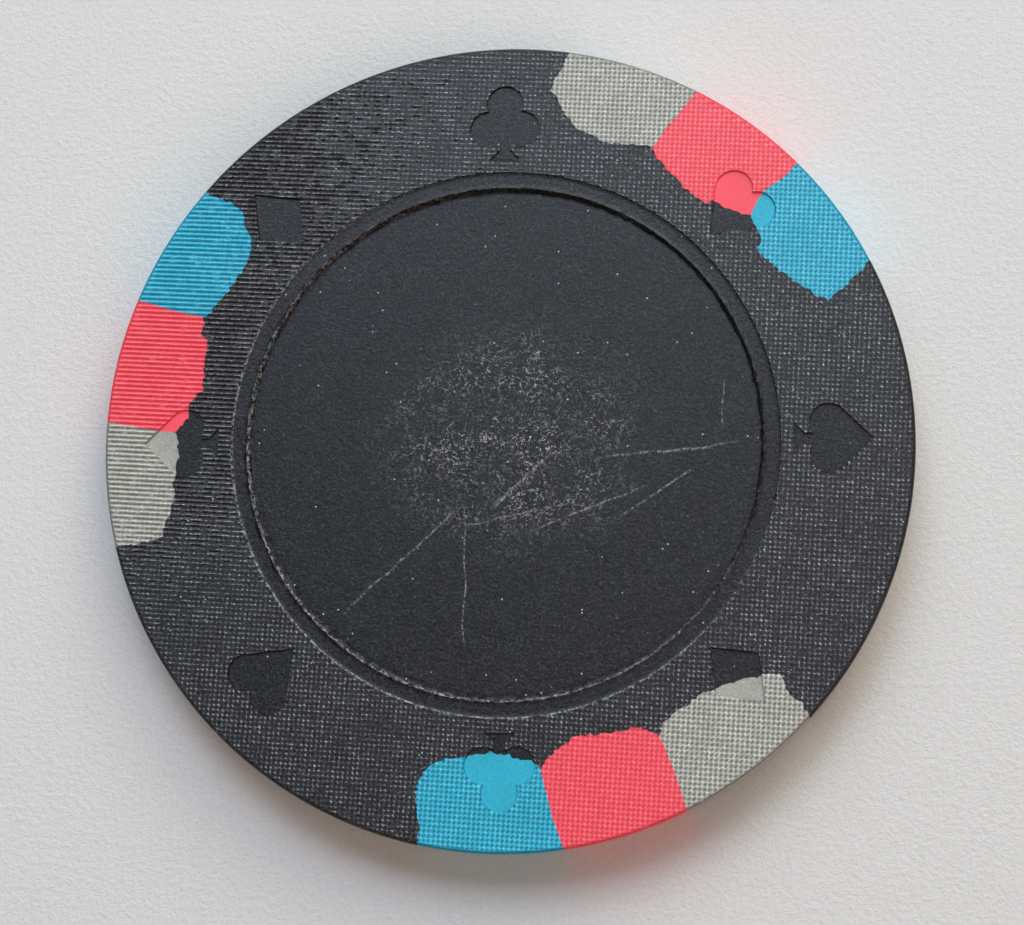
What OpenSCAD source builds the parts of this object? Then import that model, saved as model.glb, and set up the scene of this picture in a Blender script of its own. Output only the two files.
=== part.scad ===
// Dealer button: a compression-moulded clay chip, 39 mm across.
// A black body holds nine coloured edge spots, in three groups of blue, coral
// and grey. Each spot goes right through the chip, so it shows on both faces
// and on the edge. Both faces are the same: a recess, a smooth land around it,
// and an outer ring with eight debossed playing-card suits.
// The chip stands on Z = 0, with its centre on the Z axis.

/* [Chip] */
// Diameter over the edge
chip_d = 39; // [32:0.5:48]
// Thickness over the two outer rings
chip_h = 3.3; // [2.6:0.1:5]
// Width of the slope where a face meets the edge
edge_slope_w = 0.3; // [0.1:0.05:0.6]
// Height of that slope
edge_slope_h = 0.25; // [0.1:0.05:0.6]

/* [Rings and recess] */
// Width of the outer ring, from the edge in to the land
ring_w = 6.3; // [5.2:0.1:8]
// Width of the smooth land around the recess
land_w = 0.9; // [0.4:0.1:2]
// How far the land lies below the outer ring
land_drop = 0.12; // [0.05:0.01:0.3]
// How far the recess floor lies below the land
recess_drop = 0.25; // [0.1:0.05:0.6]
// Width that each step takes up in plan, because its wall has draft
draft_w = 0.1; // [0.05:0.05:0.3]

/* [Suit marks] */
// Number of debossed suits around each face
mark_count = 8; // [4:4:12]
// Height of a suit, from its foot to its head
mark_h = 3.8; // [2:0.1:4.6]
// Width of a suit
mark_w = 3.5; // [2:0.1:4.6]
// Depth of a suit
mark_depth = 0.15; // [0.05:0.01:0.3]
// Gap between the land and the foot of a suit
mark_gap = 0.5; // [0.1:0.1:1]

/* [Edge spots] */
// Width of one edge spot, measured along the edge
spot_w = 6.3; // [4:0.1:8]
// How far the deepest spot reaches in from the edge
spot_reach = 5; // [3:0.1:7]
// Angle at which the first group of spots starts
group_1_at = 26; // [0:1:60]
// Angle at which the second group starts
group_2_at = 140; // [120:1:180]
// Angle at which the third group starts
group_3_at = 259; // [240:1:290]

/* [Hidden] */
$fn = 96;

body_colour = [0.16, 0.17, 0.18];
blue_colour = [0.20, 0.63, 0.78];
coral_colour = [0.98, 0.31, 0.38];
grey_colour = [0.64, 0.67, 0.63];

chip_r = chip_d / 2;
land_r = chip_r - ring_w;
recess_r = land_r - land_w;
recess_depth = land_drop + recess_drop;
mark_r = land_r + draft_w + mark_gap + mark_h / 2;
spot_angle = 360 * spot_w / (PI * chip_d);
// How far a cutting solid stands out past the surface that it cuts
cut_over = 1;
// Straight pieces in each curved stretch of a spot's outline
curve_steps = 3;
// Straight pieces in the round of a heart's lobe
arc_steps = 12;

// The outlines of the spots. A point is [along, in]: along the edge from the
// start of its group, in widths of a spot, and in from the edge, in shares of
// spot_reach. A group has four sides, each drawn inwards from just outside the
// edge, and between their inner ends three inner edges: blue, coral and grey.
group_1_sides = [
    [[0, -0.05], [-0.04, 0.16], [-0.1, 0.32], [-0.17, 0.53]],
    [[0.95, -0.05], [0.93, 0.2], [0.96, 0.45], [0.89, 0.68]],
    [[1.9, -0.05], [1.94, 0.24], [1.98, 0.46], [2.01, 0.71]],
    [[2.94, -0.05], [3, 0.2], [3.07, 0.43]]
];
group_1_inner = [
    [[-0.03, 0.63], [0.13, 0.73], [0.31, 0.8], [0.55, 0.86], [0.66, 0.77]],
    [[1.04, 0.77], [1.23, 0.83], [1.29, 0.9], [1.7, 0.86]],
    [[2.1, 0.71], [2.4, 0.81], [2.67, 0.78], [2.84, 0.71], [2.98, 0.5]]
];
group_2_sides = [
    [[0, -0.05], [-0.03, 0.14], [-0.09, 0.36], [-0.05, 0.49]],
    [[1, -0.05], [0.98, 0.24], [0.96, 0.49], [0.92, 0.7]],
    [[1.98, -0.05], [2.01, 0.24], [2.04, 0.49], [2.05, 0.69]],
    [[2.95, -0.05], [3.01, 0.26], [2.98, 0.47]]
];
group_2_inner = [
    [[0.01, 0.53], [0.1, 0.74], [0.38, 0.81], [0.68, 0.78]],
    [[1.06, 0.73], [1.16, 0.83], [1.4, 0.88], [1.6, 0.9], [1.78, 0.82], [1.9, 0.8]],
    [[2.18, 0.73], [2.4, 0.7], [2.78, 0.62], [2.89, 0.53]]
];
group_3_sides = [
    [[0, -0.05], [-0.07, 0.26], [-0.14, 0.48]],
    [[1.09, -0.05], [1.03, 0.3], [1, 0.58], [0.97, 0.77]],
    [[2.03, -0.05], [2.07, 0.27], [2.1, 0.52], [2.11, 0.73]],
    [[3.14, -0.05], [3.2, 0.1], [3.21, 0.29], [3.27, 0.48]]
];
group_3_inner = [
    [[-0.13, 0.6], [-0.03, 0.78], [0.15, 0.86], [0.5, 0.93], [0.71, 0.91], [0.86, 0.86]],
    [[1.08, 0.88], [1.26, 0.97], [1.41, 1], [1.7, 0.95], [1.9, 0.91], [2.04, 0.83]],
    [[2.2, 0.8], [2.36, 0.85], [2.59, 0.85], [2.77, 0.8], [2.91, 0.76], [3.18, 0.58]]
];

// A point of a spot's outline, [along, in], as a place on the face
function place(point, start) =
    let (angle = start + point[0] * spot_angle, r = chip_r - point[1] * spot_reach)
    r * [cos(angle), sin(angle)];

// One stretch of a smooth curve from b to c, with neighbours a and d
function between(a, b, c, d, t) =
    b + (c - a) * t / 2 + (2 * a - 5 * b + 4 * c - d) * t * t / 2
    + (3 * b - a - 3 * c + d) * t * t * t / 2;

// A smooth curve through the points, without its last point
function curve(p) = [
    for (i = [0 : len(p) - 2])
    for (k = [0 : curve_steps - 1])
        between(p[max(i - 1, 0)], p[i], p[i + 1], p[min(i + 2, len(p) - 1)], k / curve_steps)
];

function last(list) = list[len(list) - 1];
function reversed(list) = [for (i = [len(list) - 1 : -1 : 0]) list[i]];

// The outline from one side of a group to another, round by the inner edges,
// with its outer corners well outside the chip
function spot_outline(sides, inner, start, from, to) =
    let (
        first = [for (p = sides[from]) place(p, start)],
        final = [for (p = sides[to]) place(p, start)],
        outside = -cut_over
    )
    concat(
        [place([sides[from][0][0], outside], start)],
        curve(first),
        [for (i = [from : to - 1]) each curve(
            [for (p = concat([last(sides[i])], inner[i], [last(sides[i + 1])])) place(p, start)])],
        [last(final)],
        reversed(curve(final)),
        [place([sides[to][0][0], outside], start)]
    );

// Points along an arc, from one angle to another
function arc(centre, r, from, to) = [
    for (k = [0 : arc_steps]) let (angle = from + (to - from) * k / arc_steps)
        centre + r * [cos(angle), sin(angle)]
];

// Two round lobes that narrow to a point, as a heart has, w wide and h high
module heart_shape(w, h) {
    lobe_r = w * 0.27;
    lobe = [w / 2 - lobe_r, h / 2 - lobe_r];
    tip = [0, -h / 2];
    // The side of the heart leaves the tip at this angle and meets the lobe squarely
    side_angle = atan2(lobe[1] - tip[1], lobe[0]) - asin(lobe_r / norm(lobe - tip));
    right = arc(lobe, lobe_r, side_angle - 90, acos(-lobe[0] / lobe_r));
    left = [for (p = reversed(right)) [-p[0], p[1]]];
    polygon(concat([tip], right, [for (i = [1 : len(left) - 1]) left[i]]));
}

// The foot that a spade or a club stands on
module stem(w, h) {
    polygon([
        [-w / 2, -h / 2], [w / 2, -h / 2], [w / 6, -h / 4], [w / 8, h / 2],
        [-w / 8, h / 2], [-w / 6, -h / 4]
    ]);
}

module spade() {
    head_h = mark_h * 0.82;
    stem_h = mark_h * 0.5;
    translate([0, (mark_h - head_h) / 2]) rotate(180) heart_shape(mark_w, head_h);
    translate([0, (stem_h - mark_h) / 2]) stem(mark_w * 0.45, stem_h);
}

module heart() {
    heart_shape(mark_w, mark_h * 0.92);
}

module club() {
    leaf_r = mark_w * 0.27;
    leaf_y = -mark_h * 0.08;
    stem_h = mark_h * 0.55;
    translate([0, mark_h / 2 - leaf_r]) circle(leaf_r);
    for (s = [-1, 1]) translate([s * (mark_w / 2 - leaf_r), leaf_y]) circle(leaf_r);
    translate([0, (stem_h - mark_h) / 2]) stem(mark_w * 0.45, stem_h);
}

module diamond() {
    half_w = mark_w * 0.42;
    half_h = mark_h / 2;
    polygon([[half_w, 0], [0, half_h], [-half_w, 0], [0, -half_h]]);
}

// The four suits, in turn around the face
module suit(index) {
    if (index % 4 == 0) spade();
    if (index % 4 == 1) heart();
    if (index % 4 == 2) club();
    if (index % 4 == 3) diamond();
}

// The suits' pockets in one face, cut down from the height of the outer ring
module mark_pockets() {
    translate([0, 0, chip_h - mark_depth])
        linear_extrude(mark_depth + cut_over)
            for (i = [0 : mark_count - 1])
                rotate(i * 360 / mark_count) translate([mark_r, 0]) rotate(-90) suit(i);
}

// Turns a piece over, onto the other face
module turned_over() {
    translate([0, 0, chip_h]) rotate([180, 0, 0]) children();
}

// The whole chip, before it is divided into its colours
module chip_blank() {
    face = [
        [0, recess_depth],
        [recess_r, recess_depth],
        [recess_r + draft_w, land_drop],
        [land_r, land_drop],
        [land_r + draft_w, 0],
        [chip_r - edge_slope_w, 0],
        [chip_r, edge_slope_h]
    ];
    lower = [for (p = face) p];
    upper = [for (p = reversed(face)) [p[0], chip_h - p[1]]];
    difference() {
        rotate_extrude() polygon(concat(lower, upper));
        mark_pockets();
        turned_over() mark_pockets();
    }
}

// An upright solid of an outline, taller than the chip
module through_solid(outline) {
    translate([0, 0, -cut_over]) linear_extrude(chip_h + 2 * cut_over) polygon(outline);
}

// One spot of a group: 0 is blue, 1 is coral and 2 is grey
module spot(sides, inner, start, index) {
    intersection() {
        chip_blank();
        through_solid(spot_outline(sides, inner, start, index, index + 1));
    }
}

module chip_body() {
    color(body_colour)
        difference() {
            chip_blank();
            through_solid(spot_outline(group_1_sides, group_1_inner, group_1_at, 0, 3));
            through_solid(spot_outline(group_2_sides, group_2_inner, group_2_at, 0, 3));
            through_solid(spot_outline(group_3_sides, group_3_inner, group_3_at, 0, 3));
        }
}

module blue_spot_1() { color(blue_colour) spot(group_1_sides, group_1_inner, group_1_at, 0); }
module coral_spot_1() { color(coral_colour) spot(group_1_sides, group_1_inner, group_1_at, 1); }
module grey_spot_1() { color(grey_colour) spot(group_1_sides, group_1_inner, group_1_at, 2); }
module blue_spot_2() { color(blue_colour) spot(group_2_sides, group_2_inner, group_2_at, 0); }
module coral_spot_2() { color(coral_colour) spot(group_2_sides, group_2_inner, group_2_at, 1); }
module grey_spot_2() { color(grey_colour) spot(group_2_sides, group_2_inner, group_2_at, 2); }
module blue_spot_3() { color(blue_colour) spot(group_3_sides, group_3_inner, group_3_at, 0); }
module coral_spot_3() { color(coral_colour) spot(group_3_sides, group_3_inner, group_3_at, 1); }
module grey_spot_3() { color(grey_colour) spot(group_3_sides, group_3_inner, group_3_at, 2); }

chip_body();
blue_spot_1();
coral_spot_1();
grey_spot_1();
blue_spot_2();
coral_spot_2();
grey_spot_2();
blue_spot_3();
coral_spot_3();
grey_spot_3();
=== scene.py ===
"""Looks of a clay dealer button: a black chip with nine coloured edge spots.

The chip is made as its maker makes it. A smooth blank is turned, two waffle dies
press the crosshatch into its faces, eight suit dies press a mark each into both
faces, and the clays of different colour are parted along torn edges. Each piece
stands for the CAD node of the same clay, and takes its outline from that node.
"""

from __future__ import annotations

import logging
import math
from dataclasses import dataclass, field
from enum import Enum
from typing import Callable, Iterable, Sequence

import bpy
import numpy as np
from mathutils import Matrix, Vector, noise

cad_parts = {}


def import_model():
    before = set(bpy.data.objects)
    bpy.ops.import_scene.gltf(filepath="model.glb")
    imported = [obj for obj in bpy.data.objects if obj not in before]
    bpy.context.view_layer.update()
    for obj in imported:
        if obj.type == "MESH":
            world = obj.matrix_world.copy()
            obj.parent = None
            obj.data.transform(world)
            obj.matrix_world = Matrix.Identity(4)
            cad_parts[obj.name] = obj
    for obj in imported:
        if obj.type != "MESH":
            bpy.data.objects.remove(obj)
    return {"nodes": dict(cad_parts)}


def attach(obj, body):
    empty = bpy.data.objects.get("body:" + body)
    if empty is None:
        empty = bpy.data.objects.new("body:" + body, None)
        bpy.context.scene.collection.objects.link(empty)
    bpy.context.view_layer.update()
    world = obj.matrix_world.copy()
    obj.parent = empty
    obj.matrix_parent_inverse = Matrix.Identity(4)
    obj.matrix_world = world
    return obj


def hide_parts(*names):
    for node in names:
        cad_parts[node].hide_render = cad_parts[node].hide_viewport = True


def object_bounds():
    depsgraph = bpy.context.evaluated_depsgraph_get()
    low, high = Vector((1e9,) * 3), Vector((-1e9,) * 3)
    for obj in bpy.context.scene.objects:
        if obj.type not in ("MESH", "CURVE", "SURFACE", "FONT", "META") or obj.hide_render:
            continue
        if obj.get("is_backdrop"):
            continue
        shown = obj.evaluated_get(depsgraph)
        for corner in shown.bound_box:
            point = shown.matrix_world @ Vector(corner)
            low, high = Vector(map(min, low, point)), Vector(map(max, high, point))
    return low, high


MM = 0.001
JOINED = MM / 1000  # points nearer than this are one point
STRAIGHT = 1e-3  # the sine of a bend that still counts as straight
TINY = 1e-18  # keeps a division from meeting 0
LOG = logging.getLogger("dealer_button")

Point = tuple[float, float]
Colour = tuple[float, float, float]


class Clay(Enum):
    """The four clays. Each value is the record's material slot."""

    BLACK = "black_clay"
    BLUE = "blue_clay"
    CORAL = "coral_clay"
    GREY = "grey_clay"


class Cut(Enum):
    """What a tool does to the piece that it meets."""

    AWAY = "DIFFERENCE"
    KEEP = "INTERSECT"


@dataclass(frozen=True)
class ChipSizes:
    """The chip's own sizes, in metres. Depths are below the outer ring's crests."""

    rim_r: float
    height: float
    ring_w: float = 6.3 * MM
    land_w: float = 0.9 * MM
    land_drop: float = 0.12 * MM
    recess_drop: float = 0.25 * MM
    draft_w: float = 0.1 * MM
    shoulder_w: float = 0.3 * MM
    shoulder_h: float = 0.27 * MM
    mark_h: float = 3.8 * MM
    mark_w: float = 3.5 * MM
    mark_depth: float = 0.15 * MM
    mark_gap: float = 0.5 * MM
    mark_count: int = 8

    @property
    def land_r(self) -> float:
        """Outer radius of the smooth land."""
        return self.rim_r - self.ring_w

    @property
    def recess_r(self) -> float:
        """Radius of the recess floor."""
        return self.land_r - self.land_w

    @property
    def recess_depth(self) -> float:
        """How far the recess floor lies below the crests."""
        return self.land_drop + self.recess_drop

    @property
    def mark_r(self) -> float:
        """Radius of the ring through the middles of the suits."""
        return self.land_r + self.draft_w + self.mark_gap + self.mark_h / 2


class Bench:
    """The workbench: small jobs that every piece needs, done with operators."""

    @staticmethod
    def clear() -> None:
        """Deselects everything and leaves no object active."""
        if bpy.context.object and bpy.context.object.mode != "OBJECT":
            bpy.ops.object.mode_set(mode="OBJECT")
        bpy.ops.object.select_all(action="DESELECT")

    @staticmethod
    def take(piece: bpy.types.Object) -> None:
        """Makes a piece the only selected object, and active."""
        Bench.clear()
        piece.select_set(True)
        bpy.context.view_layer.objects.active = piece

    @staticmethod
    def edit(piece: bpy.types.Object, everything: bool = True) -> None:
        """Opens a piece in edit mode, with all of it selected unless told otherwise."""
        Bench.take(piece)
        bpy.ops.object.mode_set(mode="EDIT")
        bpy.ops.mesh.select_mode(type="VERT")
        if everything:
            bpy.ops.mesh.select_all(action="SELECT")

    @staticmethod
    def close() -> None:
        """Leaves edit mode."""
        bpy.ops.object.mode_set(mode="OBJECT")

    @staticmethod
    def points(piece: bpy.types.Object) -> np.ndarray:
        """The places of a piece's vertices, one row each."""
        rows = np.empty(len(piece.data.vertices) * 3)
        piece.data.vertices.foreach_get("co", rows)
        return rows.reshape(-1, 3)

    @staticmethod
    def place(piece: bpy.types.Object, rows: np.ndarray) -> None:
        """Moves a piece's vertices to new places, one row each."""
        piece.data.vertices.foreach_set("co", rows.ravel())
        piece.data.update()

    @staticmethod
    def pick(piece: bpy.types.Object, chosen: np.ndarray) -> None:
        """Selects vertices by a row of true and false, and nothing else."""
        mesh = piece.data
        mesh.polygons.foreach_set("select", np.zeros(len(mesh.polygons), bool))
        mesh.edges.foreach_set("select", np.zeros(len(mesh.edges), bool))
        mesh.vertices.foreach_set("select", chosen)

    @staticmethod
    def weigh(piece: bpy.types.Object, name: str, weights: np.ndarray) -> None:
        """Gives a piece a vertex group with these weights."""
        group = piece.vertex_groups.new(name=name)
        for index in np.flatnonzero(weights):
            group.add([int(index)], float(weights[index]), "REPLACE")

    @staticmethod
    def apply(piece: bpy.types.Object, modifier: bpy.types.Modifier) -> None:
        """Applies a modifier to its piece."""
        Bench.take(piece)
        bpy.ops.object.modifier_apply(modifier=modifier.name)

    @staticmethod
    def cut(piece: bpy.types.Object, tool: bpy.types.Object, how: Cut) -> None:
        """Cuts a closed piece with a closed tool.

        Args:
            piece: the piece that is changed.
            tool: the tool, which stays as it is.
            how: whether the tool takes away what it meets or keeps only that.
        """
        modifier = piece.modifiers.new("cut", "BOOLEAN")
        modifier.operation = how.value
        modifier.solver = "MANIFOLD"
        modifier.object = tool
        Bench.apply(piece, modifier)

    @staticmethod
    def copy(piece: bpy.types.Object, name: str) -> bpy.types.Object:
        """A copy of a piece with its own mesh."""
        twin = piece.copy()
        twin.data = piece.data.copy()
        twin.name = name
        bpy.context.scene.collection.objects.link(twin)
        return twin

    @staticmethod
    def discard(tools: Iterable[bpy.types.Object]) -> None:
        """Removes tools that have done their work."""
        for tool in tools:
            bpy.data.objects.remove(tool, do_unlink=True)

    @staticmethod
    def turn_over(piece: bpy.types.Object, middle: float) -> None:
        """Turns a piece over about the X axis at a height, onto the other face."""
        Bench.edit(piece)
        bpy.ops.transform.rotate(
            value=math.pi, orient_axis="X", center_override=(0, 0, middle)
        )
        Bench.close()

    @staticmethod
    def prism(
        name: str, outline: Sequence[Point], low: float, high: float, layers: int = 1
    ) -> bpy.types.Object:
        """An upright closed solid of an outline.

        Args:
            name: the new object's name.
            outline: the outline's points in plan, in order.
            low: the height of its underside.
            high: the height of its top.
            layers: how many layers its wall is divided into.

        Returns:
            The new object.
        """
        Bench.clear()
        bpy.ops.mesh.primitive_circle_add(
            vertices=len(outline), radius=1.0, fill_type="NGON", location=(0, 0, 0)
        )
        solid = bpy.context.object
        solid.name = name
        Bench.place(solid, np.array([(x, y, low) for x, y in outline]))
        Bench.edit(solid)
        for _ in range(layers):
            step = (0, 0, (high - low) / layers)
            bpy.ops.mesh.extrude_region_move(TRANSFORM_OT_translate={"value": step})
        bpy.ops.mesh.select_all(action="SELECT")
        bpy.ops.mesh.normals_make_consistent(inside=False)
        Bench.close()
        return solid


@dataclass
class TurnedBlank:
    """The smooth blank: a profile spun round the chip's axis.

    The spare is clay above the crests that the waffle die presses away. The lip and
    the groove follow the wall of each recess, and the flash is how far it is torn.
    """

    sizes: ChipSizes
    steps: int = 540
    shoulder_steps: int = 5
    spare: float = 0.05 * MM
    lip_h: float = 0.05 * MM
    groove_h: float = 0.015 * MM
    fillet: float = 0.04 * MM
    flash: float = 0.34 * MM
    flash_grain: float = 0.22 * MM
    parting_line: float = 0.03 * MM

    def face_profile(self) -> list[Point]:
        """The upper face's profile from the axis out, as radius and depth below the crests.

        Returns:
            Points of (radius, depth), where a depth under 0 is spare clay for the die.
        """
        s = self.sizes
        floor, land = s.recess_depth, s.land_drop
        wall_r = s.recess_r + s.draft_w
        return [
            (0, floor),
            (s.recess_r * 0.5, floor),
            (s.recess_r - 8 * self.fillet, floor),
            (s.recess_r - 5 * self.fillet, floor),
            (s.recess_r - 2 * self.fillet, floor + self.groove_h),
            (s.recess_r, floor + self.groove_h / 2),
            (wall_r - self.fillet, (floor + land) / 2),
            (wall_r, land + self.fillet),
            (wall_r + self.fillet / 2, land - self.lip_h / 2),
            (wall_r + self.fillet, land - self.lip_h),
            (wall_r + 2 * self.fillet, land - self.lip_h / 2),
            (wall_r + 4 * self.fillet, land),
            (wall_r + 7 * self.fillet, land),
            (s.land_r - 5 * self.fillet, land),
            (s.land_r - self.fillet, land),
            (s.land_r, land - self.fillet / 2),
            (s.land_r + s.draft_w / 2, -self.spare),
            ((s.land_r + s.rim_r) / 2, -self.spare),
            (s.rim_r - s.shoulder_w * 1.6, -self.spare),
        ] + self.shoulder()

    def shoulder(self) -> list[Point]:
        """The round of the chip's shoulder, from the face down to the edge."""
        s = self.sizes
        rows = []
        for turn in range(-1, self.shoulder_steps):
            angle = math.radians(90 - 90 * turn / self.shoulder_steps)
            rows.append((
                s.rim_r - s.shoulder_w * (1 - math.cos(angle)),
                s.shoulder_h * (1 - math.sin(angle)) - self.spare * (turn < 0),
            ))
        return rows

    def profile(self) -> list[Point]:
        """The whole profile from the upper face's middle to the lower's, as (radius, height)."""
        s = self.sizes
        upper = [(r, s.height - depth) for r, depth in self.face_profile()]
        line, middle = self.parting_line, s.height / 2
        edge = [
            (s.rim_r, s.height - s.shoulder_h),
            (s.rim_r - line / 2, s.height - 2 * s.shoulder_h),
            (s.rim_r - line, middle + 4 * line),
            (s.rim_r, middle + line),
        ]
        half = upper + edge
        return half + [(r, s.height - z) for r, z in reversed(half)]

    def build(self) -> bpy.types.Object:
        """Spins the profile into a closed blank and tears the edge of each recess.

        Returns:
            The blank.
        """
        Bench.clear()
        outline = self.profile()
        bpy.ops.mesh.primitive_circle_add(vertices=len(outline), fill_type="NOTHING")
        blank = bpy.context.object
        blank.name = "blank"
        Bench.place(blank, np.array([(r, 0, z) for r, z in outline]))
        self.open_at_axis(blank)
        Bench.edit(blank)
        bpy.ops.mesh.spin(
            steps=self.steps, angle=2 * math.pi, center=(0, 0, 0), axis=(0, 0, 1)
        )
        bpy.ops.mesh.select_all(action="SELECT")
        bpy.ops.mesh.remove_doubles(threshold=JOINED)
        bpy.ops.mesh.normals_make_consistent(inside=False)
        Bench.close()
        self.tear_lips(blank)
        return blank

    def open_at_axis(self, blank: bpy.types.Object) -> None:
        """Removes the edge that runs along the axis, which closed the circle."""
        rows = Bench.points(blank)
        on_axis = rows[:, 0] < JOINED
        Bench.pick(blank, on_axis)
        Bench.edit(blank, everything=False)
        bpy.ops.mesh.delete(type="EDGE")
        Bench.close()

    def tear_lips(self, blank: bpy.types.Object) -> None:
        """Roughens the lip of each recess, where the mould leaves flash."""
        s = self.sizes
        radius = np.hypot(*Bench.points(blank)[:, :2].T)
        middle = s.recess_r + s.draft_w
        near = 1 - np.abs(radius - middle) / (4 * self.fillet)
        Bench.weigh(blank, "lip", np.clip(near, 0, 1))
        grain = bpy.data.textures.new("flash", "CLOUDS")
        grain.noise_scale = self.flash_grain
        grain.noise_depth = 3
        modifier = blank.modifiers.new("flash", "DISPLACE")
        modifier.texture = grain
        modifier.texture_coords = "LOCAL"
        modifier.vertex_group = "lip"
        modifier.strength = self.flash
        Bench.apply(blank, modifier)


@dataclass
class WaffleDie:
    """The die that presses the crosshatch: square studs on a slightly turned lattice.

    Rows of pits run from left to right, and a bar parts each pit from the next. The
    bars are faint at faint_x, so that only grooves show, and reach their full height
    rise_x further right, or rise_y nearer the front. A saddle is a dip in a crest
    beside a pit.
    """

    sizes: ChipSizes
    pitch: float = 0.231 * MM
    stud_depth: float = 0.1 * MM
    turn_deg: float = -3.4
    reach: float = 0.7 * MM
    overlap: float = 0.15 * MM
    thickness: float = 0.4 * MM
    wear: float = 0.08
    saddle: float = 0.22
    faint_x: float = -18 * MM
    rise_x: float = 24 * MM
    rise_y: float = 14 * MM
    shallow: float = 0.3
    least_bar: float = 0.06
    drift: float = 0.05
    drift_grain: float = 4 * MM
    seed: int = 7

    def build(self) -> bpy.types.Object:
        """Makes the upper face's die, a closed ring with its studs pointing down.

        Returns:
            The die, in place on the upper face.
        """
        step = self.pitch / 2
        cells = 2 * math.ceil((self.sizes.rim_r + self.reach) / step)
        Bench.clear()
        bpy.ops.mesh.primitive_grid_add(
            x_subdivisions=cells,
            y_subdivisions=cells,
            size=cells * step,
            location=(0, 0, 0),
        )
        die = bpy.context.object
        die.name = "waffle_die"
        self.trim(die)
        rows = Bench.points(die)
        across, along = (np.rint(rows[:, axis] / step).astype(int) for axis in (0, 1))
        turn = math.radians(self.turn_deg)
        x = rows[:, 0] * math.cos(turn) - rows[:, 1] * math.sin(turn)
        y = rows[:, 0] * math.sin(turn) + rows[:, 1] * math.cos(turn)
        Bench.place(die, np.column_stack((x, y, np.full(len(x), self.sizes.height))))
        Bench.weigh(die, "studs", self.depths(across, along, x, y))
        modifier = die.modifiers.new("studs", "DISPLACE")
        modifier.direction = "Z"
        modifier.mid_level = 0.0
        modifier.strength = -self.stud_depth
        modifier.vertex_group = "studs"
        Bench.apply(die, modifier)
        Bench.edit(die)
        up = (0, 0, self.thickness)
        bpy.ops.mesh.extrude_region_move(TRANSFORM_OT_translate={"value": up})
        bpy.ops.mesh.select_all(action="SELECT")
        bpy.ops.mesh.normals_make_consistent(inside=False)
        Bench.close()
        return die

    def trim(self, die: bpy.types.Object) -> None:
        """Deletes what lies outside the chip and inside the land."""
        radius = np.hypot(*Bench.points(die)[:, :2].T)
        inside = radius < self.sizes.land_r - self.overlap
        outside = radius > self.sizes.rim_r + self.reach / 2
        Bench.pick(die, inside | outside)
        Bench.edit(die, everything=False)
        bpy.ops.mesh.delete(type="VERT")
        Bench.close()

    def depths(
        self, across: np.ndarray, along: np.ndarray, x: np.ndarray, y: np.ndarray
    ) -> np.ndarray:
        """How deep the die presses at each point, from 0 at a crest to 1 in a pit.

        Args:
            across: each point's number on the lattice, from left to right.
            along: each point's number on the lattice, from front to back.
            x: each point's place, from left to right.
            y: each point's place, from front to back.

        Returns:
            A share of the studs' depth for each point.
        """
        in_row = along % 2 == 1
        odd = across % 2 == 1
        full = (x - self.faint_x) / self.rise_x + np.maximum(0, -y) / self.rise_y
        full = np.clip(full, 0, 1)
        spots = (Vector((a, b, 0)) / self.drift_grain for a, b in zip(x, y))
        drift = self.drift * np.array([noise.noise(spot) for spot in spots])
        pit = 1 - self.shallow * (1 - full)
        saddle = self.saddle * full
        bar = pit + (saddle - pit) * np.clip(full + drift, self.least_bar, 1)
        depth = np.where(in_row, np.where(odd, pit, bar), np.where(odd, saddle, 0.0))
        worn = np.random.default_rng(self.seed).uniform(-self.wear, self.wear, len(depth))
        return np.clip(depth + worn, 0, 1)


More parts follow.
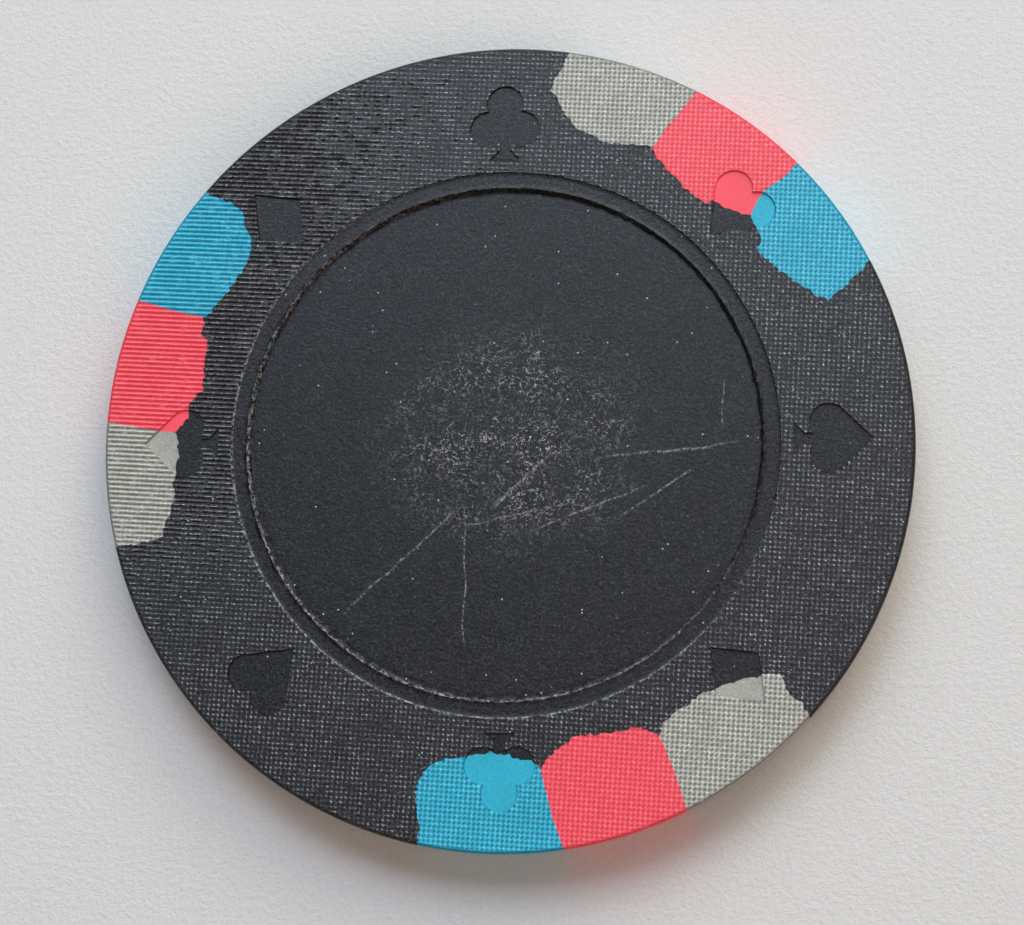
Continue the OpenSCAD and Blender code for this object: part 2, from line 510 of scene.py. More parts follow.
@dataclass
class SuitDies:
    """The dies that press the playing-card suits, eight to a face."""

    sizes: ChipSizes
    arc_steps: int = 20
    draft: float = 0.12 * MM
    over: float = 0.3 * MM

    def arc(self, centre: Point, r: float, start: float, end: float) -> list[Point]:
        """Points along an arc.

        Args:
            centre: the arc's centre.
            r: its radius.
            start: the angle it starts at, in degrees.
            end: the angle it ends at.

        Returns:
            The points, both ends among them.
        """
        turns = np.radians(np.linspace(start, end, self.arc_steps))
        return [(centre[0] + r * math.cos(t), centre[1] + r * math.sin(t)) for t in turns]

    def heart_outline(self, w: float, h: float) -> list[Point]:
        """A heart's outline, its tip down, w wide and h high."""
        lobe_r = w * 0.27
        lobe_x, lobe_y = w / 2 - lobe_r, h / 2 - lobe_r
        reach = math.hypot(lobe_x, lobe_y + h / 2)
        side = math.degrees(math.atan2(lobe_y + h / 2, lobe_x) - math.asin(lobe_r / reach))
        notch = math.degrees(math.acos(-lobe_x / lobe_r))
        right = self.arc((lobe_x, lobe_y), lobe_r, side - 90, notch)
        left = [(-x, y) for x, y in reversed(right)]
        return [(0, -h / 2)] + right + left[1:]

    def heart(self) -> list[list[Point]]:
        """The heart, as the outlines that make it."""
        return [self.heart_outline(self.sizes.mark_w, self.sizes.mark_h * 0.92)]

    def stem(self, w: float, h: float, foot: float) -> list[Point]:
        """A stem's outline, w wide at its foot and h high."""
        rows = [(w / 2, 0), (w / 6, h / 4), (w / 8, h)]
        side = [(x, foot + y) for x, y in rows]
        return side + [(-x, y) for x, y in reversed(side)]

    def spade(self) -> list[list[Point]]:
        """The spade: a heart turned over, on a stem."""
        w, h = self.sizes.mark_w, self.sizes.mark_h
        head_h = h * 0.82
        lift = (h - head_h) / 2
        head = [(-x, lift - y) for x, y in self.heart_outline(w, head_h)]
        return [head, self.stem(w * 0.45, h * 0.5, -h / 2)]

    def club(self) -> list[list[Point]]:
        """The club: three round leaves on a stem."""
        w, h = self.sizes.mark_w, self.sizes.mark_h
        leaf_r = w * 0.27
        low_y = -h * 0.08
        middles = [(0, h / 2 - leaf_r), (w / 2 - leaf_r, low_y), (leaf_r - w / 2, low_y)]
        leaves = [self.arc(m, leaf_r, 0, 360)[:-1] for m in middles]
        return [*leaves, self.stem(w * 0.45, h * 0.55, -h / 2)]

    def diamond(self) -> list[list[Point]]:
        """The diamond."""
        half_w, half_h = self.sizes.mark_w * 0.42, self.sizes.mark_h / 2
        return [[(half_w, 0), (0, half_h), (-half_w, 0), (0, -half_h)]]

    def build(self) -> list[bpy.types.Object]:
        """Makes the dies of the upper face, each in its place.

        Returns:
            One closed solid for each outline of each suit.
        """
        s = self.sizes
        suits = [self.spade(), self.heart(), self.club(), self.diamond()]
        floor = s.height - s.mark_depth
        dies = []
        for index in range(s.mark_count):
            turn = 2 * math.pi * index / s.mark_count
            for outline in suits[index % len(suits)]:
                die = Bench.prism("suit_die", outline, floor, s.height + self.over)
                self.taper(die, floor)
                Bench.edit(die)
                bpy.ops.transform.rotate(
                    value=math.pi / 2, orient_axis="Z", center_override=(0, 0, 0)
                )
                bpy.ops.transform.translate(value=(s.mark_r, 0, 0))
                bpy.ops.transform.rotate(
                    value=-turn, orient_axis="Z", center_override=(0, 0, 0)
                )
                Bench.close()
                dies.append(die)
        return dies

    def taper(self, die: bpy.types.Object, floor: float) -> None:
        """Draws a die's foot in a little, so that the pocket's wall has draft."""
        rows = Bench.points(die)
        low = rows[:, 2] < floor + JOINED
        Bench.pick(die, low)
        Bench.edit(die, everything=False)
        share = 1 - self.draft / (self.sizes.mark_w / 2)
        bpy.ops.transform.resize(value=(share, share, 1))
        Bench.close()


@dataclass
class ClayOutlines:
    """Where one clay ends and the next begins, read from the CAD nodes.

    The black clay's borders are torn in full, and the seams between two spots only by
    seam_share of that.
    """

    sizes: ChipSizes
    nodes: dict[str, bpy.types.Object]
    spacing: float = 0.1 * MM
    layers: int = 4
    over: float = 0.6 * MM
    rim_near: float = 0.02 * MM
    torn_wide: float = 0.13 * MM
    torn_fine: float = 0.2 * MM
    torn_wide_grain: float = 0.9 * MM
    torn_fine_grain: float = 0.27 * MM
    seam_share: float = 0.16
    seed: int = 11
    body_points: set[tuple[int, int]] = field(default_factory=set)

    def __post_init__(self) -> None:
        """Seeds the noise, which would otherwise tear the clay anew in every run."""
        noise.seed_set(self.seed)

    def section(self, node: str) -> list[Point]:
        """The outline of a CAD node at the chip's mid height.

        Args:
            node: the CAD node's name.

        Returns:
            The outline's points in order, without the ones along a straight line.
        """
        copy = Bench.copy(self.nodes[node], node + "_section")
        copy.parent = None
        copy.hide_viewport = False
        Bench.edit(copy)
        bpy.ops.mesh.remove_doubles(threshold=MM / 2000)
        bpy.ops.mesh.select_all(action="SELECT")
        bpy.ops.mesh.bisect(
            plane_co=(0, 0, self.sizes.height / 2),
            plane_no=(0, 0, 1),
            clear_inner=True,
            clear_outer=True,
        )
        Bench.close()
        rows = Bench.points(copy)
        edges = [tuple(edge.vertices) for edge in copy.data.edges]
        Bench.discard([copy])
        return self.without_straights(self.in_order(rows, edges))

    @staticmethod
    def in_order(rows: np.ndarray, edges: list[tuple[int, int]]) -> list[Point]:
        """Puts the points of a closed line of edges in order.

        Args:
            rows: the points' places.
            edges: the pairs of points that are joined.

        Returns:
            The points in plan, one after another round the line.
        """
        beside: dict[int, list[int]] = {}
        for a, b in edges:
            beside.setdefault(a, []).append(b)
            beside.setdefault(b, []).append(a)
        start = min(beside)
        loop, last = [start], -1
        while True:
            onward = [p for p in beside[loop[-1]] if p != last]
            last = loop[-1]
            if not onward or onward[0] == start:
                return [(float(rows[p][0]), float(rows[p][1])) for p in loop]
            loop.append(onward[0])

    @staticmethod
    def without_straights(loop: list[Point]) -> list[Point]:
        """Leaves out the points that lie on a straight line between their neighbours."""
        kept = []
        for i, p in enumerate(loop):
            before = Vector(p) - Vector(loop[i - 1])
            after = Vector(loop[(i + 1) % len(loop)]) - Vector(p)
            bend = abs(before.cross(after)) / max(before.length * after.length, TINY)
            if bend > STRAIGHT:
                kept.append(p)
        return kept

    def spaced(self, loop: list[Point]) -> list[Point]:
        """Divides each side of an outline into short steps, the same from either end."""
        rows = []
        for i, p in enumerate(loop):
            a, b = Vector(p), Vector(loop[(i + 1) % len(loop)])
            count = max(1, round((b - a).length / self.spacing))
            rows += [tuple(a.lerp(b, k / count)) for k in range(count)]
        return rows

    @staticmethod
    def key(p: Point) -> tuple[int, int]:
        """A point's place in whole steps of two micrometres, to tell if two points are one."""
        return (round(p[0] / MM * 500), round(p[1] / MM * 500))

    def solid(self, node: str) -> bpy.types.Object:
        """A torn-edged solid of a node's clay, taller than the chip.

        Args:
            node: the CAD node's name.

        Returns:
            The closed solid, which the chip is cut with.
        """
        s = self.sizes
        outline = self.spaced(self.section(node))
        if not self.body_points:
            self.body_points = {self.key(p) for p in outline}
        torn = [self.key(p) in self.body_points for p in outline]
        solid = Bench.prism(
            node + "_cutter", outline, -self.over, s.height + self.over, self.layers
        )
        rows = Bench.points(solid)
        share = {self.key(p): 1.0 if t else self.seam_share for p, t in zip(outline, torn)}
        for i, (x, y, z) in enumerate(rows):
            r = math.hypot(x, y)
            if r > s.rim_r - self.rim_near:
                rows[i, :2] *= (s.rim_r + self.over) / r
            amount = share[self.key((x, y))]
            rows[i, :2] += self.tear(rows[i, 0], rows[i, 1], z) * amount
        Bench.place(solid, rows)
        return solid

    def tear(self, x: float, y: float, z: float) -> np.ndarray:
        """How far the clay is torn aside at a place.

        Args:
            x: the place, from left to right.
            y: the place, from front to back.
            z: the place, from below up.

        Returns:
            The shift in plan.
        """
        p = Vector((x, y, z * 0.5))
        wide = noise.noise_vector(p / self.torn_wide_grain) * self.torn_wide
        fine = noise.noise_vector(p / self.torn_fine_grain) * self.torn_fine
        return np.array((wide.x + fine.x, wide.y + fine.y))


class NodeSheet:
    """A material's sheet of shader nodes, with short ways to add to it."""

    def __init__(self, name: str) -> None:
        """Starts a material that holds only its shader and output.

        Args:
            name: the material's name.
        """
        self.material = bpy.data.materials.new(name)
        self.material.use_nodes = True
        self.tree = self.material.node_tree
        self.shader = self.tree.nodes["Principled BSDF"]

    def add(self, kind: str, **values: object) -> bpy.types.Node:
        """Adds a node and sets its properties.

        Args:
            kind: the node's type.
            **values: the node's properties by name.

        Returns:
            The node.
        """
        node = self.tree.nodes.new(kind)
        for name, value in values.items():
            setattr(node, name, value)
        return node

    def join(self, source: object, target: bpy.types.NodeSocket) -> None:
        """Links a socket to another, or sets it to a plain value."""
        if isinstance(source, bpy.types.NodeSocket):
            self.tree.links.new(source, target)
        else:
            target.default_value = source

    def math(self, operation: str, a: object, b: object = 0.0) -> bpy.types.NodeSocket:
        """One arithmetic operation on two numbers or sockets."""
        node = self.add("ShaderNodeMath", operation=operation)
        self.join(a, node.inputs[0])
        self.join(b, node.inputs[1])
        return node.outputs[0]

    def ramp(
        self, value: object, low: float, high: float, start: float = 0.0, end: float = 1.0
    ) -> bpy.types.NodeSocket:
        """A smooth change from start to end as a value goes from low to high."""
        node = self.add("ShaderNodeMapRange", interpolation_type="SMOOTHSTEP")
        for socket, given in zip(node.inputs, (value, low, high, start, end)):
            self.join(given, socket)
        return node.outputs[0]

    def mix(self, share: object, a: object, b: object) -> bpy.types.NodeSocket:
        """A colour between two colours."""
        node = self.add("ShaderNodeMix", data_type="RGBA")
        self.join(share, node.inputs[0])
        self.join(self.rgba(a), node.inputs[6])
        self.join(self.rgba(b), node.inputs[7])
        return node.outputs[2]

    @staticmethod
    def rgba(colour: object) -> object:
        """Adds an alpha to a plain colour, and leaves a socket as it is."""
        return (*colour, 1.0) if isinstance(colour, tuple) else colour

    def millimetres(self) -> bpy.types.NodeSocket:
        """The place on the object, in millimetres."""
        place = self.add("ShaderNodeTexCoord")
        scale = self.add("ShaderNodeVectorMath", operation="SCALE")
        self.join(place.outputs["Object"], scale.inputs[0])
        scale.inputs["Scale"].default_value = 1 / MM
        return scale.outputs[0]

    def grain(
        self, place: object, per_mm: float, detail: float = 3.0, rough: float = 0.6
    ) -> bpy.types.NodeSocket:
        """A noise with so many grains to the millimetre, around one half."""
        node = self.add("ShaderNodeTexNoise")
        self.join(place, node.inputs["Vector"])
        node.inputs["Scale"].default_value = per_mm
        node.inputs["Detail"].default_value = detail
        node.inputs["Roughness"].default_value = rough
        return node.outputs["Fac"]

    def specks(
        self, place: object, per_mm: float, radius: float, share: float
    ) -> bpy.types.NodeSocket:
        """Scattered round specks.

        Args:
            place: the place on the object, in millimetres.
            per_mm: how many cells there are to the millimetre.
            radius: a speck's radius, as a share of a cell.
            share: the share of cells that hold a speck.

        Returns:
            1 on a speck and 0 beside it.
        """
        cell = self.add("ShaderNodeTexVoronoi")
        self.join(place, cell.inputs["Vector"])
        cell.inputs["Scale"].default_value = per_mm
        disc = self.ramp(cell.outputs["Distance"], radius, radius * 0.5)
        pick = self.add("ShaderNodeSeparateColor")
        self.join(cell.outputs["Color"], pick.inputs[0])
        chosen = self.math("LESS_THAN", pick.outputs[0], share)
        return self.math("MULTIPLY", disc, chosen)

    def scratch(
        self, place: object, start: Point, end: Point, width: float
    ) -> bpy.types.NodeSocket:
        """One straight scratch, soft at its ends.

        Args:
            place: the place on the object, in millimetres.
            start: where it starts, in millimetres.
            end: where it ends, in millimetres.
            width: how wide it is, in millimetres.

        Returns:
            1 in the scratch and 0 beside it.
        """
        line = Vector(end) - Vector(start)
        turn = self.add("ShaderNodeMapping", vector_type="TEXTURE")
        self.join(place, turn.inputs["Vector"])
        turn.inputs["Location"].default_value = (*start, 0)
        turn.inputs["Rotation"].default_value = (0, 0, math.atan2(line.y, line.x))
        parts = self.add("ShaderNodeSeparateXYZ")
        self.join(turn.outputs[0], parts.inputs[0])
        beside = self.ramp(self.math("ABSOLUTE", parts.outputs[1]), width, width * 0.3)
        fade = line.length * 0.2
        enters = self.ramp(parts.outputs[0], 0, fade)
        leaves = self.ramp(parts.outputs[0], line.length, line.length - fade)
        return self.math("MULTIPLY", beside, self.math("MULTIPLY", enters, leaves))

    def bump(self, height: object, distance: float, strength: float) -> None:
        """Gives the shader a fine relief, in metres."""
        node = self.add("ShaderNodeBump")
        node.inputs["Distance"].default_value = distance
        node.inputs["Strength"].default_value = strength
        self.join(height, node.inputs["Height"])
        self.join(node.outputs[0], self.shader.inputs["Normal"])


@dataclass(frozen=True)
class ClayFinish:
    """How one clay looks: in the pits, on the crests and where it is smooth.

    Depths are in millimetres below the crests, and grains are counted per millimetre.
    The glint is the colour of painted highlights on the crests and of dust with painted sparkle, and the
    speck that of specks. The pit colour holds painted shade, and the crest colour is partly wear and
    partly painted highlight.
    """

    clay: Clay
    pit: Colour
    crest: Colour
    smooth: Colour
    glint: Colour
    speck: Colour
    dust_and_glint_share: float
    speck_share: float
    mottle: float
    grain_h: float
    roughness: float = 0.5
    crest_roughness: float = 0.4
    specular: float = 0.5
    pit_depth: float = 0.075
    smooth_depth: float = 0.112
    fine_per_mm: float = 7.0
    dust_and_glint_per_mm: float = 9.0
    specks_per_mm: float = 4.2
    speck_r: float = 0.2
    speck_cover: float = 0.85
    scuffed: bool = False
    glow: float = 0.0

    def make(self, sizes: ChipSizes) -> bpy.types.Material:
        """Mixes the finish into a material.

        Args:
            sizes: the chip's sizes, which tell crests from pits.

        Returns:
            The material.
        """
        sheet = NodeSheet(self.clay.value)
        place = sheet.millimetres()
        depth = self.depth(sheet, place, sizes)
        fine = sheet.grain(place, self.fine_per_mm, 4.0, 0.7)
        colour = self.colour(sheet, place, depth, fine)
        # Dust and painted sparkle: a fine grain lightened towards the glint colour, partly real dust and
        # partly painted glints of light.
        dust_and_glint = sheet.grain(place, self.dust_and_glint_per_mm, 3.0, 0.85)
        colour = sheet.mix(sheet.ramp(dust_and_glint, 0.5, 0.7, 0.0, self.dust_and_glint_share), colour, self.glint)
        specks = sheet.specks(place, self.specks_per_mm, self.speck_r, self.speck_share)
        colour = sheet.mix(sheet.math("MULTIPLY", specks, self.speck_cover), colour, self.speck)
        relief = fine
        if self.scuffed:
            # Real scuffs, and the lip line of dust and painted highlight, both in the speck colour.
            wear = sheet.math("MAXIMUM", Scuffs().mask(sheet, place), self.lip_dust_and_highlight(sheet, place, sizes))
            colour = sheet.mix(wear, colour, self.speck)
            relief = sheet.math("ADD", fine, sheet.math("MULTIPLY", wear, 0.8))
        sheet.join(colour, sheet.shader.inputs["Base Color"])
        sheet.join(self.gloss(sheet, depth, fine), sheet.shader.inputs["Roughness"])
        sheet.shader.inputs["Specular IOR Level"].default_value = self.specular
        # Painted glow: the clay emits a little of its own smooth colour, though it is no lamp.
        if self.glow:
            sheet.shader.inputs["Emission Color"].default_value = (*self.smooth, 1.0)
            sheet.shader.inputs["Emission Strength"].default_value = self.glow
        sheet.bump(relief, self.grain_h, 1.0)
        return sheet.material

    def depth(self, sheet: NodeSheet, place: object, sizes: ChipSizes) -> bpy.types.NodeSocket:
        """How far below the nearer face's crests a place lies, in millimetres."""
        parts = sheet.add("ShaderNodeSeparateXYZ")
        sheet.join(place, parts.inputs[0])
        middle = sizes.height / 2 / MM
        off = sheet.math("ABSOLUTE", sheet.math("SUBTRACT", parts.outputs[2], middle))
        return sheet.math("SUBTRACT", middle, off)

    def colour(
        self, sheet: NodeSheet, place: object, depth: object, fine: object
    ) -> bpy.types.NodeSocket:
        """The clay's colour: worn and lit by a painted highlight on the crests, darkened by painted
        shade in the pits, even where smooth.

        Args:
            sheet: the material's sheet of nodes.
            place: the place on the object, in millimetres.
            depth: how far the place lies below the crests.
            fine: the clay's fine grain.

        Returns:
            The colour.
        """
        # Painted shade and highlight: the colour goes from the light crest colour to the dark pit colour
        # as the depth grows.
        down = sheet.ramp(depth, 0.0, self.pit_depth)
        colour = sheet.mix(down, self.crest, self.pit)
        # Painted highlight: the glint colour on the crest tops, partly rubbed wear and partly painted
        # glint.
        rubbed = sheet.ramp(sheet.grain(place, 6.0, 2.0), 0.38, 0.6, 0.12, 1.0)
        rubbed = sheet.math("MULTIPLY", rubbed, sheet.ramp(depth, 0.02, 0.004))
        colour = sheet.mix(rubbed, colour, self.glint)
        level = sheet.ramp(depth, self.smooth_depth - 0.008, self.smooth_depth)
        colour = sheet.mix(level, colour, self.smooth)
        broad = sheet.grain(place, 0.6, 2.0)
        uneven = sheet.math("ADD", fine, sheet.math("MULTIPLY", broad, 0.35))
        share = sheet.ramp(uneven, 0.5, 0.85, 1 - self.mottle, 1 + self.mottle)
        value = sheet.add("ShaderNodeHueSaturation")
        sheet.join(share, value.inputs["Value"])
        sheet.join(colour, value.inputs["Color"])
        return value.outputs[0]

    def gloss(self, sheet: NodeSheet, depth: object, fine: object) -> bpy.types.NodeSocket:
        """The clay's roughness: crests are rubbed smoother than the rest."""
        base = sheet.ramp(depth, 0.0, self.pit_depth, self.crest_roughness, self.roughness)
        return sheet.math("ADD", base, sheet.ramp(fine, 0.35, 0.65, -0.08, 0.08))

    def lip_dust_and_highlight(self, sheet: NodeSheet, place: object, sizes: ChipSizes) -> bpy.types.NodeSocket:
        """The broken pale line along both edges of the land: dust and burrs, with a painted highlight
        that is strongest at the lower left, where the wall faces the light.
        """
        flat = sheet.add("ShaderNodeVectorMath", operation="MULTIPLY")
        sheet.join(place, flat.inputs[0])
        flat.inputs[1].default_value = (1.0, 1.0, 0.0)
        reach = sheet.add("ShaderNodeVectorMath", operation="LENGTH")
        sheet.join(flat.outputs[0], reach.inputs[0])
        lines = None
        for radius, width in ((sizes.recess_r + sizes.draft_w, 0.1), (sizes.land_r, 0.07)):
            off = sheet.math("SUBTRACT", reach.outputs["Value"], radius / MM)
            line = sheet.ramp(sheet.math("ABSOLUTE", off), width, width * 0.3)
            lines = line if lines is None else sheet.math("MAXIMUM", lines, line)
        broken = sheet.ramp(sheet.grain(place, 6.0, 3.0, 0.7), 0.42, 0.64, 0.0, 0.55)
        # Painted highlight: the line is weighted towards the lower left, where the recess wall faces the
        # light.
        parts = sheet.add("ShaderNodeSeparateXYZ")
        sheet.join(place, parts.inputs[0])
        side = sheet.math("ADD", parts.outputs[0], parts.outputs[1])
        lit_side = sheet.ramp(side, 12.0, -4.0, 0.15, 1.0)
        return sheet.math("MULTIPLY", sheet.math("MULTIPLY", lines, broken), lit_side)


@dataclass(frozen=True)
class Scuffs:
    """The wear on the recess floor: rubbed patches and a few scratches, in millimetres."""

    scratches: tuple[tuple[Point, Point, float], ...] = (
        ((-8.0, -8.6), (-1.6, -2.8), 0.08),
        ((-1.8, -3.2), (-1.8, -10.2), 0.05),
        ((4.2, -0.9), (11.6, -0.1), 0.08),
        ((5.4, -3.8), (9.4, -1.2), 0.07),
        ((10.6, 3.2), (10.5, 0.4), 0.05),
        ((-2.2, -4.2), (3.6, -2.9), 0.07),
        ((1.2, -4.4), (7.2, -2.0), 0.08),
        ((-0.6, -3.4), (2.4, -0.4), 0.12),
    )
    middle: Point = (0.6, 0.2)
    size: Point = (7.0, 6.0)

    def mask(self, sheet: NodeSheet, place: object) -> bpy.types.NodeSocket:
        """Where the floor is scuffed.

        Args:
            sheet: the material's sheet of nodes.
            place: the place on the object, in millimetres.

        Returns:
            From 0 on clean clay to 1 on a scuff.
        """
        bent = self.bent(sheet, place, 0.5, 0.5)
        marks = None
        for start, end, width in self.scratches:
            line = sheet.scratch(bent, start, end, width)
            marks = line if marks is None else sheet.math("MAXIMUM", marks, line)
        broken = sheet.ramp(sheet.grain(place, 8.0, 2.0), 0.46, 0.62, 0.03, 0.34)
        marks = sheet.math("MULTIPLY", marks, broken)
        return sheet.math("MAXIMUM", marks, self.rubbed(sheet, place))

    def bent(
        self, sheet: NodeSheet, place: object, per_mm: float, reach: float
    ) -> bpy.types.NodeSocket:
        """The place, pushed aside by a noise, so that no scratch is straight."""
        node = sheet.add("ShaderNodeTexNoise")
        sheet.join(place, node.inputs["Vector"])
        node.inputs["Scale"].default_value = per_mm
        push = sheet.add("ShaderNodeVectorMath", operation="MULTIPLY_ADD")
        sheet.join(node.outputs["Color"], push.inputs[0])
        push.inputs[1].default_value = (reach, reach, 0.0)
        sheet.join(place, push.inputs[2])
        shift = sheet.add("ShaderNodeVectorMath", operation="SUBTRACT")
        sheet.join(push.outputs[0], shift.inputs[0])
        shift.inputs[1].default_value = (reach / 2, reach / 2, 0.0)
        return shift.outputs[0]

    def rubbed(self, sheet: NodeSheet, place: object) -> bpy.types.NodeSocket:
        """The patch of tiny bright curls around the middle of the floor."""
        near = sheet.add("ShaderNodeMapping", vector_type="TEXTURE")
        sheet.join(place, near.inputs["Vector"])
        near.inputs["Location"].default_value = (*self.middle, 0)
        near.inputs["Scale"].default_value = (*self.size, 100)
        reach = sheet.add("ShaderNodeVectorMath", operation="LENGTH")
        sheet.join(near.outputs[0], reach.inputs[0])
        inside = sheet.ramp(reach.outputs["Value"], 1.15, 0.1)
        patchy = sheet.ramp(sheet.grain(place, 0.4, 3.0, 0.6), 0.4, 0.6, 0.25, 1.0)
        where = sheet.math("MULTIPLY", inside, patchy)
        ridge = sheet.math("SUBTRACT", sheet.grain(place, 3.6, 2.0), 0.5)
        curls = sheet.ramp(sheet.math("ABSOLUTE", ridge), 0.045, 0.0)
        ends = sheet.ramp(sheet.grain(self.bent(sheet, place, 0.3, 9.0), 4.6, 2.0), 0.44, 0.56)
        curls = sheet.math("MULTIPLY", curls, ends)
        return sheet.math("MULTIPLY", sheet.math("MULTIPLY", curls, where), 0.9)


FINISHES = {
    Clay.BLACK: ClayFinish(
        Clay.BLACK,
        pit=(0.0008, 0.0008, 0.0012),
        crest=(0.026, 0.028, 0.036),
        smooth=(0.0028, 0.0036, 0.0068),
        glint=(0.36, 0.37, 0.41),
        speck=(0.75, 0.76, 0.78),
        dust_and_glint_share=0.17,
        speck_share=0.035,
        mottle=0.7,
        grain_h=0.035 * MM,
        roughness=0.34,
        crest_roughness=0.3,
        specular=0.42,
        scuffed=True,
    ),
    Clay.BLUE: ClayFinish(
        Clay.BLUE,
        pit=(0.005, 0.20, 0.34),
        crest=(0.028, 0.56, 0.80),
        smooth=(0.018, 0.46, 0.66),
        glint=(0.20, 0.78, 0.94),
        speck=(0.01, 0.10, 0.16),
        dust_and_glint_share=0.15,
        speck_share=0.02,
        mottle=0.10,
        grain_h=0.014 * MM,
    ),
    Clay.CORAL: ClayFinish(
        Clay.CORAL,
        pit=(0.74, 0.035, 0.055),
        crest=(1.0, 0.11, 0.155),
        smooth=(0.98, 0.085, 0.125),
        glint=(1.0, 0.30, 0.35),
        speck=(0.42, 0.02, 0.035),
        dust_and_glint_share=0.10,
        speck_share=0.01,
        mottle=0.06,
        grain_h=0.012 * MM,
        glow=0.06,
    ),
    Clay.GREY: ClayFinish(
        Clay.GREY,
        pit=(0.16, 0.165, 0.14),
        crest=(0.52, 0.53, 0.485),
        smooth=(0.38, 0.39, 0.355),
        glint=(0.88, 0.88, 0.83),
        speck=(0.13, 0.13, 0.11),
        dust_and_glint_share=0.35,
        speck_share=0.02,
        mottle=0.15,
        grain_h=0.020 * MM,
    ),
}


@dataclass
class DealerButton:
    """The whole chip: pressed in one piece, then parted into its clays."""

    sizes: ChipSizes
    nodes: dict[str, bpy.types.Object]
    smooth_deg: float = 55.0

    def press(self) -> bpy.types.Object:
        """Turns the blank and presses both faces.

        Returns:
            The whole chip, before it is parted.
        """
        chip = TurnedBlank(self.sizes).build()
        waffle = WaffleDie(self.sizes).build()
        suits = SuitDies(self.sizes).build()
        for tools in ([waffle], suits):
            for tool in tools:
                Bench.cut(chip, tool, Cut.AWAY)
                Bench.turn_over(tool, self.sizes.height / 2)
                Bench.cut(chip, tool, Cut.AWAY)
            Bench.discard(tools)
        return chip

    def part(self, chip: bpy.types.Object) -> dict[str, bpy.types.Object]:
        """Parts the chip into its clays.

        Args:
            chip: the pressed chip, which is used up.

        Returns:
            The finished pieces by the names of the CAD nodes that they stand for.
        """
        outlines = ClayOutlines(self.sizes, self.nodes)
        pieces = {}
        for node in sorted(self.nodes, key=lambda name: (name != "chip_body", name)):
            cutter = outlines.solid(node)
            piece = Bench.copy(chip, self.piece_name(node))
            Bench.cut(piece, cutter, Cut.KEEP)
            Bench.discard([cutter])
            pieces[node] = piece
        Bench.discard([chip])
        return pieces

    @staticmethod
    def piece_name(node: str) -> str:
        """The finished piece's name, from the CAD node's."""
        return "clay_" + node

    @staticmethod
    def clay_of(node: str) -> Clay:
        """The clay that a CAD node is made of."""
        first = node.split("_")[0]
        return {"chip": Clay.BLACK, "blue": Clay.BLUE, "coral": Clay.CORAL}.get(first, Clay.GREY)

    def finish(self, node: str, piece: bpy.types.Object, dress: Callable) -> None:
        """Cleans a piece, shades it, dresses it and ties it to the frame.

        Args:
            node: the CAD node that the piece stands for.
            piece: the piece.
            dress: gives the material for a clay.
        """
        piece.vertex_groups.clear()
        piece.data.materials.clear()
        Bench.take(piece)
        bpy.ops.object.shade_smooth_by_angle(angle=math.radians(self.smooth_deg))
        clay = self.clay_of(node)
        piece.data.materials.append(dress(clay))
        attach(piece, "root")
        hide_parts(node)
        LOG.info("%s: %d faces, %s", piece.name, len(piece.data.polygons), clay.value)

    def build(self) -> None:
        """Makes every piece of the chip."""
        materials = {clay: finish.make(self.sizes) for clay, finish in FINISHES.items()}
        for node, piece in self.part(self.press()).items():
            self.finish(node, piece, materials.__getitem__)


@dataclass(frozen=True)
class Lamp:
    """A soft square lamp, placed by its bearing and height as the chip sees it."""

    name: str
    azimuth_deg: float
    elevation_deg: float
    distance: float
    size: float
    power: float
    colour: Colour

    def place(self) -> Vector:
        """Where the lamp hangs."""
        azimuth, elevation = math.radians(self.azimuth_deg), math.radians(self.elevation_deg)
        flat = math.cos(elevation)
        way = (flat * math.cos(azimuth), flat * math.sin(azimuth), math.sin(elevation))
        return Vector(way) * self.distance


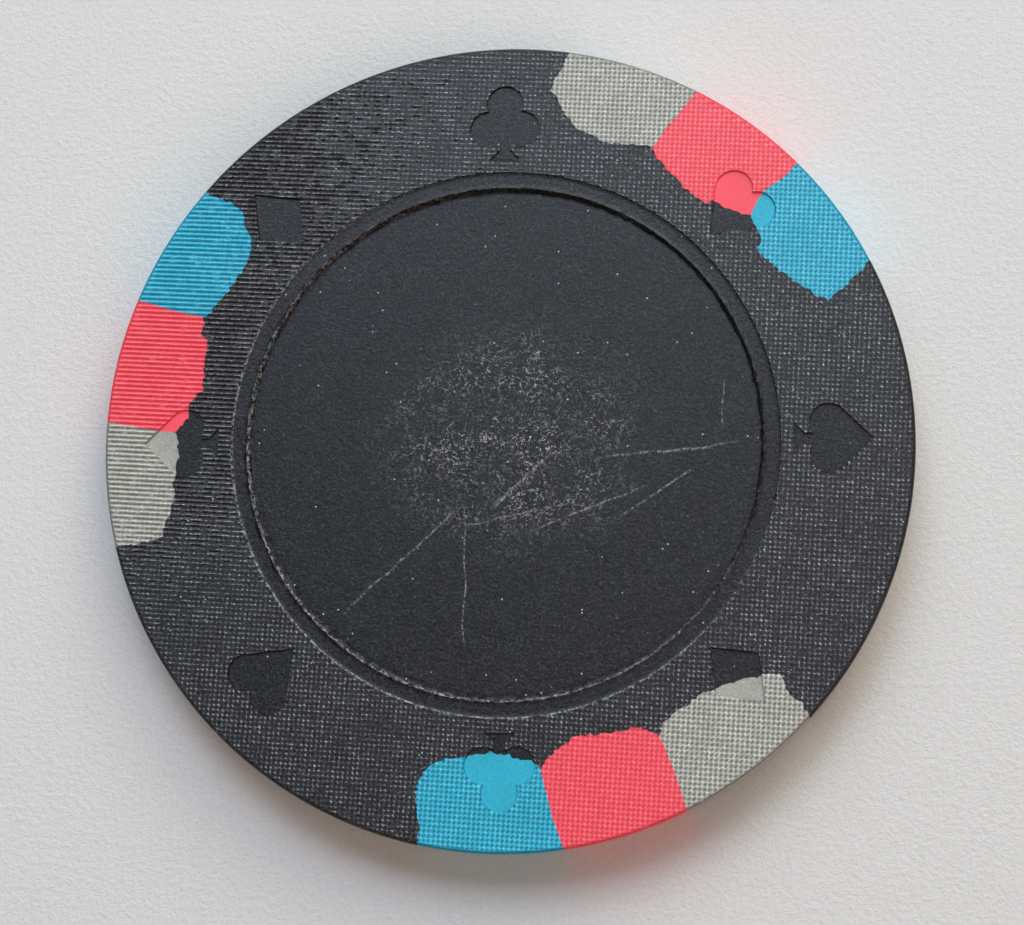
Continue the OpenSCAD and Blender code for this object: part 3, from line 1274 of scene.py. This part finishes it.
@dataclass
class Studio:
    """The pale floor, the soft light and the camera."""

    sizes: ChipSizes
    floor_size: float = 1.2
    paper: Colour = (0.80, 0.797, 0.793)
    paper_faint: float = 0.96
    paper_roughness: float = 0.9
    fibre_per_mm: float = 3.4
    fibre_h: float = 0.09 * MM
    eye: tuple[float, float, float] = (11.63 * MM, -16.29 * MM, 102.31 * MM)
    eye_turn_deg: tuple[float, float, float] = (8.46, 6.153, 0.461)
    lens: float = 76.74
    sensor: float = 36.0
    near_clip: float = 0.005
    lamps: tuple[Lamp, ...] = (
        Lamp("window", 80, 42, 0.6, 0.6, 2.3, (0.97, 1.0, 1.0)),
        Lamp("window_right", 60, 32, 0.6, 0.25, 0.74, (1.0, 0.96, 0.65)),
        Lamp("window_head", 100, 55, 0.6, 0.25, 1.06, (0.58, 0.76, 1.0)),
        Lamp("window_left", 130, 42, 0.6, 0.25, 0.27, (0.9, 0.9, 1.0)),
        Lamp("wall", 315, 50, 0.6, 0.5, 1.25, (1.0, 0.76, 0.63)),
        Lamp("ceiling", 0, 90, 0.8, 0.9, 0.4, (1.0, 1.0, 1.0)),
    )
    room_light: float = 0.015

    def lay_floor(self) -> None:
        """Lays a sheet of pale paper under the chip."""
        Bench.clear()
        bpy.ops.mesh.primitive_plane_add(size=self.floor_size, location=(0, 0, 0))
        floor = bpy.context.object
        floor.name = "paper_floor"
        sheet = NodeSheet("paper")
        place = sheet.millimetres()
        fibre = sheet.grain(place, self.fibre_per_mm, 4.0, 0.75)
        faint = tuple(channel * self.paper_faint for channel in self.paper)
        colour = sheet.mix(sheet.ramp(fibre, 0.3, 0.6), faint, self.paper)
        sheet.join(colour, sheet.shader.inputs["Base Color"])
        sheet.shader.inputs["Roughness"].default_value = self.paper_roughness
        sheet.bump(fibre, self.fibre_h, 1.0)
        floor.data.materials.append(sheet.material)
        floor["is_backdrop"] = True

    def hang_lights(self) -> None:
        """Hangs the lamps round the chip, each turned to it."""
        for lamp in self.lamps:
            data = bpy.data.lights.new(lamp.name, "AREA")
            data.size = lamp.size
            data.energy = lamp.power
            data.color = lamp.colour
            hung = bpy.data.objects.new(lamp.name, data)
            bpy.context.scene.collection.objects.link(hung)
            hung.location = lamp.place()
            hung.rotation_euler = (-hung.location).to_track_quat("-Z", "Y").to_euler()
        world = bpy.data.worlds.new("room")
        world.use_nodes = True
        sky = world.node_tree.nodes["Background"]
        sky.inputs["Color"].default_value = (1.0, 1.0, 1.0, 1.0)
        sky.inputs["Strength"].default_value = self.room_light
        bpy.context.scene.world = world

    def set_camera(self) -> None:
        """Sets the camera above the chip's front right."""
        data = bpy.data.cameras.new("camera")
        data.lens = self.lens
        data.sensor_width = self.sensor
        data.clip_start = self.near_clip
        camera = bpy.data.objects.new("camera", data)
        bpy.context.scene.collection.objects.link(camera)
        camera.location = (self.eye[0], self.eye[1], self.eye[2] + self.sizes.height)
        camera.rotation_euler = [math.radians(turn) for turn in self.eye_turn_deg]
        bpy.context.scene.camera = camera
        bpy.context.scene.view_settings.view_transform = "Standard"


def main() -> None:
    """Loads the frame, builds the chip around it and sets up the studio."""
    logging.basicConfig(level=logging.INFO, format="%(message)s")
    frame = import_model()
    cad_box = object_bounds()
    low, high = cad_box
    sizes = ChipSizes(rim_r=(high.x - low.x) / 2, height=high.z - low.z)
    studio = Studio(sizes)
    studio.set_camera()
    DealerButton(sizes, frame["nodes"]).build()
    studio.lay_floor()
    studio.hang_lights()


if __name__ == "__main__":
    main()
